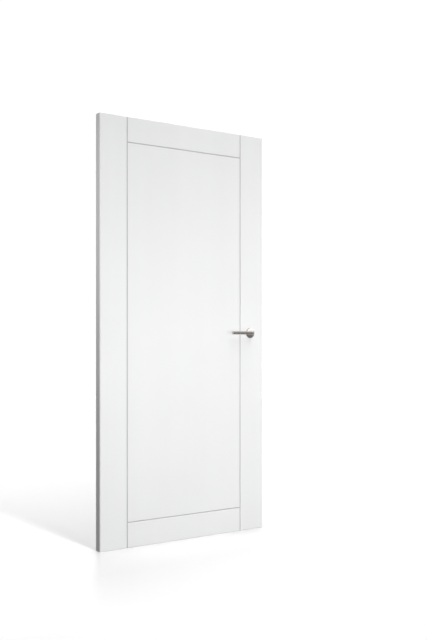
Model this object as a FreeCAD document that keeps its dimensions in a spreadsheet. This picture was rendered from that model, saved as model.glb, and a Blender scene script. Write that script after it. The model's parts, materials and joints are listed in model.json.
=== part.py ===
# Flush hollow core door leaf with routed V lines. Each face has a round bar lever on a domed round rose, and the
# lock edge has a tubular latch.
# Millimetres. X runs across the leaf from the hinge edge, Y from front to back, Z up from the bottom edge.
# The origin is on the hinge edge, halfway through the thickness, at the bottom.
import FreeCAD
import Part
import Sketcher
import math
import os

SIZES = {
    # the leaf
    "leaf_width": 930.0,
    "leaf_height": 2015.0,
    "leaf_thickness": 44.0,
    "skin_thickness": 4.0,
    "end_easing": 1.0,
    "lipping_thickness": 8.0,
    "lipping_rounding": 6.0,
    "stile_width": 34.0,
    "top_rail_height": 38.0,
    "bottom_rail_height": 60.0,
    # the routed lines
    "stile_line": 142.0,
    "rail_line": 118.0,
    "line_width": 8.0,
    "line_depth": 2.4,
    # the inside of the leaf
    "lock_block_width": 130.0,
    "lock_block_height": 320.0,
    "cell_pitch": 125.0,
    "cell_wall": 1.2,
    # where the handle and latch sit
    "handle_height": 1007.5,
    "backset": 80.0,
    "spindle_hole": 20.0,
    # the lever
    "rod_diameter": 16.0,
    "lever_length": 140.0,
    "lever_projection": 38.0,
    "bend_radius": 16.0,
    "tip_chamfer": 1.0,
    "neck_start": 0.5,
    "spindle_side": 8.0,
    "spindle_length": 88.0,
    "grub_diameter": 5.0,
    "grub_length": 3.4,
    "grub_offset": 15.0,
    "grub_key": 2.5,
    "grub_key_depth": 1.8,
    # the rose and the base under it
    "rose_diameter": 52.0,
    "rose_height": 9.0,
    "rose_rim": 4.0,
    "rose_wall": 1.4,
    "base_plate": 2.0,
    "hub_diameter": 22.0,
    "hub_height": 7.0,
    "boss_diameter": 8.0,
    "boss_length": 12.0,
    "fixing_centres": 38.0,
    "bolt_diameter": 4.0,
    "bolt_head_diameter": 7.0,
    "bolt_head_height": 1.6,
    # the tubular latch
    "barrel_diameter": 22.0,
    "barrel_wall": 1.5,
    "barrel_tail": 14.0,
    "follower_diameter": 16.0,
    "follower_length": 15.0,
    "forend_width": 25.0,
    "forend_height": 57.0,
    "forend_thickness": 3.0,
    "forend_corner": 6.0,
    "forend_screw_centres": 43.0,
    "screw_diameter": 3.5,
    "screw_head_diameter": 7.0,
    "screw_length": 20.0,
    "screw_point": 2.5,
    "latch_width": 10.0,
    "latch_height": 15.0,
    "latch_throw": 11.0,
    "latch_body": 32.0,
    "latch_bevel": 9.0,
    "latch_nose": 1.5,
    "bevel_radius": 14.0,
    "tail_width": 3.0,
    "tail_height": 10.0,
    # clearances
    "slip_gap": 0.25,
    "running_gap": 0.1,
    "thread_gap": 0.05,
}

doc = FreeCAD.newDocument("door_leaf")
sizes = doc.addObject("Spreadsheet::Sheet", "Sizes")
for row, (alias, number) in enumerate(SIZES.items(), start=1):
    sizes.set(f"A{row}", alias)
    sizes.set(f"B{row}", str(number))
    sizes.setAlias(f"B{row}", alias)
doc.recompute()

# places that several pieces share, worked out from the sizes
SPINDLE_X = "(Sizes.leaf_width - Sizes.backset)"
HALF_THICKNESS = "(Sizes.leaf_thickness / 2)"
CORE_DEPTH = "(Sizes.leaf_thickness - 2 * Sizes.skin_thickness)"
FRAME_LEFT = "Sizes.lipping_thickness"
FRAME_RIGHT = "(Sizes.leaf_width - Sizes.lipping_thickness)"
CAVITY_LEFT = "(Sizes.lipping_thickness + Sizes.stile_width)"
CAVITY_RIGHT = "(Sizes.leaf_width - Sizes.lipping_thickness - Sizes.stile_width)"
CAVITY_TOP = "(Sizes.leaf_height - Sizes.top_rail_height)"
BLOCK_LEFT = f"({CAVITY_RIGHT} - Sizes.lock_block_width)"
BLOCK_BOTTOM = "(Sizes.handle_height - Sizes.lock_block_height / 2)"
BLOCK_TOP = "(Sizes.handle_height + Sizes.lock_block_height / 2)"
BARREL_BORE = "(Sizes.barrel_diameter + 2 * Sizes.slip_gap)"
BARREL_LENGTH = "(Sizes.backset + Sizes.barrel_tail - Sizes.forend_thickness)"
BOSS_BORE = "(Sizes.boss_diameter + 2 * Sizes.slip_gap)"
NECK_HOLE = "(Sizes.rod_diameter + 2 * Sizes.slip_gap)"
NECK_BEARING = "(Sizes.rod_diameter + 2 * Sizes.running_gap)"
SPINDLE_SOCKET = "(Sizes.spindle_side + 2 * Sizes.running_gap)"
SCREW_BORE = "(Sizes.screw_diameter + 2 * Sizes.thread_gap)"
BOLT_BORE = "(Sizes.bolt_diameter + 2 * Sizes.thread_gap)"
GRUB_BORE = "(Sizes.grub_diameter + 2 * Sizes.thread_gap)"

pieces = []


def new_piece(label, x="0", y="0", z="0"):
    """A body of its own, placed in the door's frame; its label names its file."""
    body = doc.addObject("PartDesign::Body", label)
    body.Label = label
    for axis, place in (("x", x), ("y", y), ("z", z)):
        body.setExpression(f"Placement.Base.{axis}", place)
    pieces.append(body)
    return body


def at_spindle(label, side=0):
    """A body whose origin is on the spindle's axis: mid thickness, or on the face of side -1 or 1."""
    return new_piece(label, SPINDLE_X, f"{side} * {HALF_THICKNESS}", "Sizes.handle_height")


def at_lock_edge(label, z="Sizes.handle_height"):
    """A body whose origin is on the lock edge, mid thickness, at the latch's height."""
    return new_piece(label, "Sizes.leaf_width", "0", z)


def new_sketch(body, plane, offset="0"):
    """A sketch on one of the body's own planes, moved along the plane's normal by the offset."""
    sketch = body.newObject("Sketcher::SketchObject", f"{body.Label}_sketch")
    support = next(o for o in body.Origin.OriginFeatures if o.Role == f"{plane}_Plane")
    sketch.AttachmentSupport = [(support, "")]
    sketch.MapMode = "FlatFace"
    if offset != "0":
        sketch.setExpression("AttachmentOffset.Base.z", offset)
    return sketch


def measure(sketch, expression):
    """The number that an expression of the sizes gives now."""
    return float(sketch.evalExpression(expression))


def hold(sketch, edge, end, across, up):
    """Fixes one point of a sketch at (across, up) from its origin. Its axes count as edges -1 and -2."""
    for kind, axis, distance in (("DistanceX", -2, across), ("DistanceY", -1, up)):
        if distance == "0":
            sketch.addConstraint(Sketcher.Constraint("PointOnObject", edge, end, axis))
        else:
            start = measure(sketch, distance)
            index = sketch.addConstraint(Sketcher.Constraint(kind, -1, 1, edge, end, start))
            sketch.setExpression(f"Constraints[{index}]", distance)


def arc_between(start, end, radius, way):
    """The shorter arc from start to end; its centre is left of the way there for way 1, right for -1."""
    chord = end - start
    normal = FreeCAD.Vector(-chord.y, chord.x, 0).normalize() * way
    centre = (start + end) / 2 + normal * math.sqrt(radius * radius - chord.Length * chord.Length / 4)
    first, last = (start, end) if way > 0 else (end, start)
    begin = math.atan2(first.y - centre.y, first.x - centre.x)
    finish = math.atan2(last.y - centre.y, last.x - centre.x)
    turn = Part.Circle(centre, FreeCAD.Vector(0, 0, 1), radius)
    return Part.ArcOfCircle(turn, begin, finish if finish > begin else finish + 2 * math.pi)


def cap_radius(start, end):
    """The radius of the arc from start to end whose centre is on the sketch's upright axis."""
    centre = (end.Length ** 2 - start.Length ** 2) / (2 * (end.y - start.y))
    return math.hypot(start.x, start.y - centre)


def outline(sketch, corners, arcs=None):
    """A closed outline through the corners.

    arcs gives the way and the radius of each edge that is an arc. One with no radius is centred on the upright axis.
    """
    arcs = arcs or {}
    first = sketch.GeometryCount
    count = len(corners)
    start = [FreeCAD.Vector(measure(sketch, across), measure(sketch, up), 0) for across, up in corners]
    ends = []
    for i in range(count):
        here, there = start[i], start[(i + 1) % count]
        if i in arcs:
            way, radius = arcs[i]
            start_radius = measure(sketch, radius) if radius else cap_radius(here, there)
            sketch.addGeometry(arc_between(here, there, start_radius, way), False)
            ends.append((1, 2) if way > 0 else (2, 1))
        else:
            sketch.addGeometry(Part.LineSegment(here, there), False)
            ends.append((1, 2))
    for i in range(count):
        following = (i + 1) % count
        sketch.addConstraint(
            Sketcher.Constraint("Coincident", first + i, ends[i][1], first + following, ends[following][0])
        )
    for i, (across, up) in enumerate(corners):
        hold(sketch, first + i, ends[i][0], across, up)
    for i, (way, radius) in arcs.items():
        if radius:
            index = sketch.addConstraint(Sketcher.Constraint("Radius", first + i, measure(sketch, radius)))
            sketch.setExpression(f"Constraints[{index}]", radius)
        else:
            sketch.addConstraint(Sketcher.Constraint("PointOnObject", first + i, 3, -2))


def rectangle(sketch, left, right, low, high):
    outline(sketch, [(left, low), (right, low), (right, high), (left, high)])


def centred_rectangle(sketch, width, height):
    rectangle(sketch, f"-{width} / 2", f"{width} / 2", f"-{height} / 2", f"{height} / 2")


def circle(sketch, across, up, diameter):
    edge = sketch.addGeometry(Part.Circle(FreeCAD.Vector(0, 0, 0), FreeCAD.Vector(0, 0, 1), 1.0), False)
    hold(sketch, edge, 3, across, up)
    index = sketch.addConstraint(Sketcher.Constraint("Diameter", edge, 2.0))
    sketch.setExpression(f"Constraints[{index}]", diameter)


def rounded_plate(sketch, width, height, corner):
    """A plate's outline with four round corners, centred on the sketch's origin."""
    first = sketch.GeometryCount
    w, h, r = 4.0, 6.0, 1.0
    vec = FreeCAD.Vector
    sides = [(-w + r, -h, w - r, -h), (w, -h + r, w, h - r), (w - r, h, -w + r, h), (-w, h - r, -w, -h + r)]
    centres = [(w - r, -h + r), (w - r, h - r), (-w + r, h - r), (-w + r, -h + r)]
    for i in range(4):
        x1, y1, x2, y2 = sides[i]
        sketch.addGeometry(Part.LineSegment(vec(x1, y1, 0), vec(x2, y2, 0)), False)
        turn = Part.Circle(vec(centres[i][0], centres[i][1], 0), vec(0, 0, 1), r)
        begin = math.radians(90 * i - 90)
        sketch.addGeometry(Part.ArcOfCircle(turn, begin, begin + math.pi / 2), False)
    for i in range(4):
        line, arc, following = first + 2 * i, first + 2 * i + 1, first + (2 * i + 2) % 8
        sketch.addConstraint(Sketcher.Constraint("Tangent", line, 2, arc, 1))
        sketch.addConstraint(Sketcher.Constraint("Tangent", arc, 2, following, 1))
        sketch.addConstraint(Sketcher.Constraint("Vertical" if i % 2 else "Horizontal", line))
        if i:
            sketch.addConstraint(Sketcher.Constraint("Equal", first + 1, arc))
    index = sketch.addConstraint(Sketcher.Constraint("Radius", first + 1, r))
    sketch.setExpression(f"Constraints[{index}]", corner)
    for kind, edge, value, place in (
        ("DistanceX", first + 6, -w, f"-({width}) / 2"),
        ("DistanceX", first + 2, w, f"({width}) / 2"),
        ("DistanceY", first, -h, f"-({height}) / 2"),
        ("DistanceY", first + 4, h, f"({height}) / 2"),
    ):
        index = sketch.addConstraint(Sketcher.Constraint(kind, -1, 1, edge, 1, value))
        sketch.setExpression(f"Constraints[{index}]", place)


def pad(body, sketch, length, both_ways=False, reverse=False):
    feature = body.newObject("PartDesign::Pad", f"{body.Label}_pad")
    feature.Profile = sketch
    feature.setExpression("Length", length)
    feature.Midplane = both_ways
    feature.Reversed = reverse
    return feature


def pocket(body, sketch, length, both_ways=False, reverse=False):
    """Cuts the sketch's outline out of the body, and stops if it takes nothing away."""
    doc.recompute()
    before = body.Shape.Volume
    feature = body.newObject("PartDesign::Pocket", f"{body.Label}_pocket")
    feature.Profile = sketch
    feature.setExpression("Length", length)
    feature.Midplane = both_ways
    feature.Reversed = reverse
    doc.recompute()
    if body.Shape.Volume >= before:
        raise RuntimeError(f"{feature.Label} cuts nothing")
    return feature


def revolve(body, sketch, axis):
    feature = body.newObject("PartDesign::Revolution", f"{body.Label}_turning")
    feature.Profile = sketch
    feature.ReferenceAxis = (sketch, [axis])
    feature.Angle = 360.0
    return feature


def round_edges(body, chosen, radius):
    """Fillets the edges of the body's last feature that the chosen test picks."""
    doc.recompute()
    base = body.Tip
    names = [f"Edge{i}" for i, edge in enumerate(base.Shape.Edges, start=1) if chosen(edge)]
    feature = body.newObject("PartDesign::Fillet", f"{body.Label}_rounding")
    feature.Base = (base, names)
    feature.setExpression("Radius", radius)
    return feature


def chamfer_edges(body, chosen, width):
    """Chamfers the edges of the body's last feature that the chosen test picks."""
    doc.recompute()
    base = body.Tip
    names = [f"Edge{i}" for i, edge in enumerate(base.Shape.Edges, start=1) if chosen(edge)]
    feature = body.newObject("PartDesign::Chamfer", f"{body.Label}_chamfer")
    feature.Base = (base, names)
    feature.setExpression("Size", width)
    return feature


def straight_along(edge, axis):
    """True for a straight edge that runs along the axis, 0 for X, 1 for Y and 2 for Z."""
    if not isinstance(edge.Curve, Part.Line):
        return False
    direction = edge.tangentAt(edge.FirstParameter)
    return abs(abs(direction[axis]) - 1) < 1e-6


def make_skin(label, side):
    """One face board with its routed V lines and the holes behind the rose; side is -1 in front, 1 behind."""
    body = new_piece(label, y=f"{side} * (Sizes.leaf_thickness - Sizes.skin_thickness) / 2")
    sketch = new_sketch(body, "XZ")
    rectangle(sketch, FRAME_LEFT, FRAME_RIGHT, "0", "Sizes.leaf_height")
    pad(body, sketch, "Sizes.skin_thickness", both_ways=True)
    chamfer_edges(
        body,
        lambda edge: straight_along(edge, 0) and side * edge.CenterOfMass.y > 0,
        "Sizes.end_easing",
    )
    face = f"{side} * Sizes.skin_thickness / 2"
    root = f"{side} * (Sizes.skin_thickness / 2 - Sizes.line_depth)"
    upright = new_sketch(body, "XY")
    for centre in ("Sizes.stile_line", "(Sizes.leaf_width - Sizes.stile_line)"):
        left, right = f"{centre} - Sizes.line_width / 2", f"{centre} + Sizes.line_width / 2"
        outline(upright, [(left, face), (centre, root), (right, face)])
    pocket(body, upright, "Sizes.leaf_height", reverse=True)
    level = new_sketch(body, "YZ", "Sizes.stile_line")
    for centre in ("Sizes.rail_line", "(Sizes.leaf_height - Sizes.rail_line)"):
        low, high = f"{centre} - Sizes.line_width / 2", f"{centre} + Sizes.line_width / 2"
        outline(level, [(face, low), (root, centre), (face, high)])
    pocket(body, level, "Sizes.leaf_width - 2 * Sizes.stile_line", reverse=True)
    cut_handle_holes(body)


def cut_handle_holes(body):
    """The hole for the spindle, and one above and one below for the bosses of the rose's base."""
    holes = new_sketch(body, "XZ")
    circle(holes, SPINDLE_X, "Sizes.handle_height", "Sizes.spindle_hole")
    for way in ("-", "+"):
        circle(holes, SPINDLE_X, f"Sizes.handle_height {way} Sizes.fixing_centres / 2", BOSS_BORE)
    pocket(body, holes, "2 * Sizes.leaf_thickness", both_ways=True)


def make_lipping(label, left, right, outer):
    """The strip that closes one long edge, with its two outer arrises rounded."""
    body = new_piece(label)
    sketch = new_sketch(body, "XY")
    rectangle(sketch, left, right, f"-{HALF_THICKNESS}", HALF_THICKNESS)
    pad(body, sketch, "Sizes.leaf_height")
    round_edges(
        body,
        lambda edge: straight_along(edge, 2) and abs(edge.CenterOfMass.x - outer) < 0.01,
        "Sizes.lipping_rounding",
    )
    return body


def let_in_forend(body):
    """The shallow recess that brings the forend flush with the lock edge."""
    recess = new_sketch(body, "YZ", "Sizes.leaf_width")
    recess.setExpression("AttachmentOffset.Base.y", "Sizes.handle_height")
    rounded_plate(
        recess,
        "Sizes.forend_width + 2 * Sizes.running_gap",
        "Sizes.forend_height + 2 * Sizes.running_gap",
        "Sizes.forend_corner + Sizes.running_gap",
    )
    pocket(body, recess, "Sizes.forend_thickness")


def bore_for_latch(body):
    """The long bore that the latch barrel slides into from the lock edge."""
    bore = new_sketch(body, "YZ", "Sizes.leaf_width")
    circle(bore, "0", "Sizes.handle_height", BARREL_BORE)
    pocket(body, bore, "Sizes.backset + Sizes.barrel_tail + Sizes.slip_gap")


def drill_screw_holes(body):
    """Holes for the two screws of the latch's forend."""
    holes = new_sketch(body, "YZ", "Sizes.leaf_width")
    for way in ("-", "+"):
        circle(holes, "0", f"Sizes.handle_height {way} Sizes.forend_screw_centres / 2", SCREW_BORE)
    pocket(body, holes, "Sizes.screw_length + Sizes.slip_gap")


def slab(label, left, right, low, high):
    """A plain board that fills the thickness between the two skins."""
    body = new_piece(label)
    sketch = new_sketch(body, "XZ")
    rectangle(sketch, left, right, low, high)
    pad(body, sketch, CORE_DEPTH, both_ways=True)
    return body


def make_honeycomb():
    """The expanded paper core: columns of hexagonal cells that fill the space round the lock block."""
    width = SIZES["leaf_width"] - 2 * (SIZES["lipping_thickness"] + SIZES["stile_width"])
    height = SIZES["leaf_height"] - SIZES["top_rail_height"] - SIZES["bottom_rail_height"]
    columns = 2 * round(width / (SIZES["cell_pitch"] * math.sqrt(3)))
    rows = round(height / SIZES["cell_pitch"])
    across = f"(({CAVITY_RIGHT} - {CAVITY_LEFT}) / {columns})"
    up = f"(({CAVITY_TOP} - Sizes.bottom_rail_height) / {rows})"
    body = new_piece("honeycomb_core")
    sheet = new_sketch(body, "XZ")
    outline(sheet, [
        (CAVITY_LEFT, "Sizes.bottom_rail_height"),
        (CAVITY_RIGHT, "Sizes.bottom_rail_height"),
        (CAVITY_RIGHT, BLOCK_BOTTOM),
        (BLOCK_LEFT, BLOCK_BOTTOM),
        (BLOCK_LEFT, BLOCK_TOP),
        (CAVITY_RIGHT, BLOCK_TOP),
        (CAVITY_RIGHT, CAVITY_TOP),
        (CAVITY_LEFT, CAVITY_TOP),
    ])
    pad(body, sheet, CORE_DEPTH, both_ways=True)
    point = f"(2 * {across} / 3 - Sizes.cell_wall / sqrt(3))"
    flat = f"(({up} - Sizes.cell_wall) / 2)"
    for odd in (0, 1):
        x = f"({CAVITY_LEFT} + {odd} * {across})"
        z = f"(Sizes.bottom_rail_height + {1 - odd} * {up} / 2)"
        cell = new_sketch(body, "XZ")
        outline(cell, [
            (f"{x} - {point}", z),
            (f"{x} - {point} / 2", f"{z} - {flat}"),
            (f"{x} + {point} / 2", f"{z} - {flat}"),
            (f"{x} + {point}", z),
            (f"{x} + {point} / 2", f"{z} + {flat}"),
            (f"{x} - {point} / 2", f"{z} + {flat}"),
        ])
        void = pocket(body, cell, "2 * Sizes.leaf_thickness", both_ways=True)
        cells = body.newObject("PartDesign::LinearPattern", "honeycomb_cells")
        cells.Originals = [void]
        cells.Direction = (cell, ["H_Axis"])
        cells.Mode = "Spacing"
        cells.setExpression("Offset", f"2 * {across}")
        cells.Occurrences = columns // 2 + 1 - odd
        cells.Direction2 = (cell, ["V_Axis"])
        cells.Mode2 = "Spacing"
        cells.setExpression("Offset2", up)
        cells.Occurrences2 = rows + odd
        body.Tip = cells
        doc.recompute()


def make_rose(label, side):
    """The domed cover of the rose, with the hole that the lever's neck turns in."""
    body = at_spindle(label, side)
    edge = "Sizes.rose_diameter / 2"
    inside = f"({edge} - Sizes.rose_wall)"
    hole = f"{NECK_HOLE} / 2"
    crown = f"({hole} + Sizes.rose_wall)"
    profile = new_sketch(body, "XY")
    outline(profile, [
        (hole, f"{side} * Sizes.rose_height"),
        (edge, f"{side} * Sizes.rose_rim"),
        (edge, "0"),
        (inside, "0"),
        (inside, f"{side} * (Sizes.rose_rim - Sizes.rose_wall / 2)"),
        (crown, f"{side} * (Sizes.rose_height - Sizes.rose_wall)"),
        (hole, f"{side} * (Sizes.rose_height - Sizes.rose_wall)"),
    ], {0: (-side, None)})
    revolve(body, profile, "V_Axis")


def make_rose_base(label, side):
    """The base under the rose: a plate on the door's face, a bearing hub and two bosses through the skin."""
    body = at_spindle(label, side)
    bearing = f"{NECK_BEARING} / 2"
    plate = "(Sizes.rose_diameter / 2 - Sizes.rose_wall - Sizes.slip_gap)"
    profile = new_sketch(body, "XY")
    outline(profile, [
        (bearing, "0"),
        (plate, "0"),
        (plate, f"{side} * Sizes.base_plate"),
        ("Sizes.hub_diameter / 2", f"{side} * Sizes.base_plate"),
        ("Sizes.hub_diameter / 2", f"{side} * Sizes.hub_height"),
        (bearing, f"{side} * Sizes.hub_height"),
    ])
    revolve(body, profile, "V_Axis")
    bosses = new_sketch(body, "XZ")
    holes = new_sketch(body, "XZ")
    for way in ("-", ""):
        circle(bosses, "0", f"{way}Sizes.fixing_centres / 2", "Sizes.boss_diameter")
        circle(holes, "0", f"{way}Sizes.fixing_centres / 2", BOLT_BORE)
    pad(body, bosses, "Sizes.boss_length", reverse=side < 0)
    pocket(body, holes, "4 * Sizes.boss_length", both_ways=True)


def make_rose_bolt(label, way):
    """A bolt that draws the two bases together, its head on the front base's plate."""
    body = new_piece(
        label,
        SPINDLE_X,
        f"-({HALF_THICKNESS} + Sizes.base_plate)",
        f"Sizes.handle_height {way} Sizes.fixing_centres / 2",
    )
    profile = new_sketch(body, "XY")
    length = "(Sizes.leaf_thickness + 2 * Sizes.base_plate)"
    outline(profile, [
        ("0", "-Sizes.bolt_head_height"),
        ("Sizes.bolt_head_diameter / 2", "-Sizes.bolt_head_height"),
        ("Sizes.bolt_head_diameter / 2", "0"),
        ("Sizes.bolt_diameter / 2", "0"),
        ("Sizes.bolt_diameter / 2", length),
        ("0", length),
    ])
    revolve(body, profile, "V_Axis")


def draw_lever_path(sketch, side):
    """The rod's centre line: straight out from the face, round the bend, and along towards the hinge edge."""
    out = side * SIZES["lever_projection"]
    bend = SIZES["bend_radius"]
    bend_start = out - side * bend
    tip = SIZES["rod_diameter"] / 2 - SIZES["lever_length"]
    vec = FreeCAD.Vector
    sketch.addGeometry(Part.LineSegment(vec(0, side * SIZES["neck_start"], 0), vec(0, bend_start, 0)), False)
    turn = Part.Circle(vec(-bend, bend_start, 0), vec(0, 0, 1), bend)
    sweep = (0, math.pi / 2) if side > 0 else (-math.pi / 2, 0)
    sketch.addGeometry(Part.ArcOfCircle(turn, *sweep), False)
    sketch.addGeometry(Part.LineSegment(vec(-bend, out, 0), vec(tip, out, 0)), False)
    near, far = (1, 2) if side > 0 else (2, 1)
    sketch.addConstraint(Sketcher.Constraint("Tangent", 0, 2, 1, near))
    sketch.addConstraint(Sketcher.Constraint("Tangent", 1, far, 2, 1))
    sketch.addConstraint(Sketcher.Constraint("Vertical", 0))
    sketch.addConstraint(Sketcher.Constraint("Horizontal", 2))
    hold(sketch, 0, 1, "0", f"{side} * Sizes.neck_start")
    hold(sketch, 2, 2, "Sizes.rod_diameter / 2 - Sizes.lever_length", f"{side} * Sizes.lever_projection")
    index = sketch.addConstraint(Sketcher.Constraint("Radius", 1, bend))
    sketch.setExpression(f"Constraints[{index}]", "Sizes.bend_radius")


def make_lever(label, side):
    """A round rod bent once, with a square socket for the spindle and a hole for its set screw."""
    body = at_spindle(label, side)
    path = new_sketch(body, "XY")
    draw_lever_path(path, side)
    section = new_sketch(body, "XZ", f"{-side} * Sizes.neck_start")
    circle(section, "0", "0", "Sizes.rod_diameter")
    doc.recompute()
    rod = body.newObject("PartDesign::AdditivePipe", f"{label}_rod")
    rod.Profile = section
    rod.Spine = (path, ["Edge1", "Edge2", "Edge3"])
    doc.recompute()
    tip = rod.Shape.BoundBox.XMin
    chamfer_edges(body, lambda edge: abs(edge.BoundBox.XMax - tip) < 0.01, "Sizes.tip_chamfer")
    socket = new_sketch(body, "XZ", f"{-side} * Sizes.neck_start")
    centred_rectangle(socket, SPINDLE_SOCKET, SPINDLE_SOCKET)
    depth = f"Sizes.spindle_length / 2 + Sizes.slip_gap - {HALF_THICKNESS} - Sizes.neck_start"
    pocket(body, socket, depth, reverse=side < 0)
    hole = new_sketch(body, "XY")
    circle(hole, "0", f"{side} * Sizes.grub_offset", GRUB_BORE)
    pocket(body, hole, "Sizes.rod_diameter")


def make_grub_screw(label, side):
    """The set screw under the neck that clamps the lever to the spindle."""
    body = new_piece(
        label,
        SPINDLE_X,
        f"{side} * ({HALF_THICKNESS} + Sizes.grub_offset)",
        "Sizes.handle_height - Sizes.spindle_side / 2 - Sizes.thread_gap",
    )
    shank = new_sketch(body, "XY")
    circle(shank, "0", "0", "Sizes.grub_diameter")
    pad(body, shank, "Sizes.grub_length", reverse=True)
    key = new_sketch(body, "XY", "-Sizes.grub_length")
    corner = "Sizes.grub_key / sqrt(3)"
    flat = "Sizes.grub_key / 2"
    outline(key, [
        (corner, "0"),
        (f"{corner} / 2", flat),
        (f"-{corner} / 2", flat),
        (f"-{corner}", "0"),
        (f"-{corner} / 2", f"-{flat}"),
        (f"{corner} / 2", f"-{flat}"),
    ])
    pocket(body, key, "Sizes.grub_key_depth", reverse=True)


def make_spindle():
    """The square bar that joins the two levers through the follower."""
    body = at_spindle("spindle")
    section = new_sketch(body, "XZ")
    centred_rectangle(section, "Sizes.spindle_side", "Sizes.spindle_side")
    pad(body, section, "Sizes.spindle_length", both_ways=True)


def make_follower():
    """The hub in the latch that the spindle turns."""
    body = at_spindle("latch_follower")
    hub = new_sketch(body, "XZ")
    circle(hub, "0", "0", "Sizes.follower_diameter")
    pad(body, hub, "Sizes.follower_length", both_ways=True)
    square = new_sketch(body, "XZ")
    centred_rectangle(square, SPINDLE_SOCKET, SPINDLE_SOCKET)
    pocket(body, square, "2 * Sizes.follower_length", both_ways=True)


def make_latch_case():
    """The round barrel of the latch, closed at its far end and bored across for the follower."""
    body = at_lock_edge("latch_case")
    barrel = new_sketch(body, "YZ", "-Sizes.forend_thickness")
    circle(barrel, "0", "0", "Sizes.barrel_diameter")
    pad(body, barrel, BARREL_LENGTH, reverse=True)
    inside = new_sketch(body, "YZ", "-Sizes.forend_thickness")
    circle(inside, "0", "0", "Sizes.barrel_diameter - 2 * Sizes.barrel_wall")
    pocket(body, inside, f"{BARREL_LENGTH} - Sizes.barrel_wall")
    across = new_sketch(body, "XZ")
    circle(across, "-Sizes.backset", "0", "Sizes.follower_diameter + 2 * Sizes.running_gap")
    pocket(body, across, "2 * Sizes.barrel_diameter", both_ways=True)


def make_forend():
    """The plate on the lock edge, with the latch's opening and two countersunk screw holes."""
    body = at_lock_edge("latch_forend")
    plate = new_sketch(body, "YZ")
    rounded_plate(plate, "Sizes.forend_width", "Sizes.forend_height", "Sizes.forend_corner")
    pad(body, plate, "Sizes.forend_thickness", reverse=True)
    opening = new_sketch(body, "YZ")
    width = "(Sizes.latch_width + 2 * Sizes.slip_gap)"
    height = "(Sizes.latch_height + 2 * Sizes.slip_gap)"
    centred_rectangle(opening, width, height)
    pocket(body, opening, "2 * Sizes.forend_thickness")
    centres = new_sketch(body, "YZ")
    for way in ("-", ""):
        circle(centres, "0", f"{way}Sizes.forend_screw_centres / 2", SCREW_BORE)
    doc.recompute()
    before = body.Shape.Volume
    hole = body.newObject("PartDesign::Hole", "forend_screw_holes")
    hole.Profile = centres
    hole.ThreadType = "None"
    hole.DepthType = "ThroughAll"
    hole.setExpression("Diameter", SCREW_BORE)
    hole.HoleCutType = "Countersink"
    hole.HoleCutCustomValues = True
    hole.setExpression("HoleCutDiameter", "Sizes.screw_head_diameter + 2 * Sizes.thread_gap")
    hole.HoleCutCountersinkAngle = 90.0
    doc.recompute()
    if body.Shape.Volume >= before:
        raise RuntimeError("the forend's screw holes cut nothing")


def make_forend_screw(label, way):
    """A countersunk screw whose head lies flush in the forend."""
    body = at_lock_edge(label, f"Sizes.handle_height {way} Sizes.forend_screw_centres / 2")
    profile = new_sketch(body, "XY")
    outline(profile, [
        ("0", "0"),
        ("0", "Sizes.screw_head_diameter / 2"),
        ("-(Sizes.screw_head_diameter - Sizes.screw_diameter) / 2", "Sizes.screw_diameter / 2"),
        ("Sizes.screw_point - Sizes.screw_length", "Sizes.screw_diameter / 2"),
        ("-Sizes.screw_length", "0"),
    ])
    revolve(body, profile, "H_Axis")


def make_latch_bolt():
    """The sprung bolt, out of the forend by its throw, curved on its back, with a flat tail inside."""
    body = at_lock_edge("latch_bolt")
    head = new_sketch(body, "YZ", "Sizes.latch_throw")
    centred_rectangle(head, "Sizes.latch_width", "Sizes.latch_height")
    pad(body, head, "Sizes.latch_throw + Sizes.latch_body", reverse=True)
    tail = new_sketch(body, "YZ", "-Sizes.latch_body")
    centred_rectangle(tail, "Sizes.tail_width", "Sizes.tail_height")
    reach = "Sizes.backset - Sizes.follower_diameter / 2 - Sizes.slip_gap - Sizes.latch_body"
    pad(body, tail, reach, reverse=True)
    bevel = new_sketch(body, "XY")
    outline(bevel, [
        ("Sizes.latch_throw", "Sizes.latch_nose - Sizes.latch_width / 2"),
        ("Sizes.latch_throw", "Sizes.latch_width / 2"),
        ("Sizes.latch_throw - Sizes.latch_bevel", "Sizes.latch_width / 2"),
    ], {2: (-1, "Sizes.bevel_radius")})
    pocket(body, bevel, "2 * Sizes.latch_height", both_ways=True)


def make_leaf():
    """The timber frame, its core and lock block, the two skins over it and the lippings on its long edges."""
    make_skin("front_skin", -1)
    make_skin("back_skin", 1)
    make_lipping("hinge_lipping", "0", FRAME_LEFT, 0.0)
    lock_lipping = make_lipping("lock_lipping", FRAME_RIGHT, "Sizes.leaf_width", SIZES["leaf_width"])
    let_in_forend(lock_lipping)
    slab("hinge_stile", FRAME_LEFT, CAVITY_LEFT, "0", "Sizes.leaf_height")
    lock_stile = slab("lock_stile", CAVITY_RIGHT, FRAME_RIGHT, "0", "Sizes.leaf_height")
    slab("top_rail", CAVITY_LEFT, CAVITY_RIGHT, CAVITY_TOP, "Sizes.leaf_height")
    slab("bottom_rail", CAVITY_LEFT, CAVITY_RIGHT, "0", "Sizes.bottom_rail_height")
    lock_block = slab("lock_block", BLOCK_LEFT, CAVITY_RIGHT, BLOCK_BOTTOM, BLOCK_TOP)
    for board in (lock_lipping, lock_stile, lock_block):
        bore_for_latch(board)
    for board in (lock_lipping, lock_stile):
        drill_screw_holes(board)
    cut_handle_holes(lock_block)
    make_honeycomb()


def make_latch():
    make_latch_case()
    make_forend()
    make_latch_bolt()
    make_forend_screw("upper_forend_screw", "+")
    make_forend_screw("lower_forend_screw", "-")


def make_handle():
    for name, side in (("front", -1), ("back", 1)):
        make_rose(f"{name}_rose", side)
        make_rose_base(f"{name}_rose_base", side)
        make_lever(f"{name}_lever", side)
        make_grub_screw(f"{name}_grub_screw", side)
    make_rose_bolt("upper_rose_bolt", "+")
    make_rose_bolt("lower_rose_bolt", "-")
    make_spindle()
    make_follower()


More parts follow.
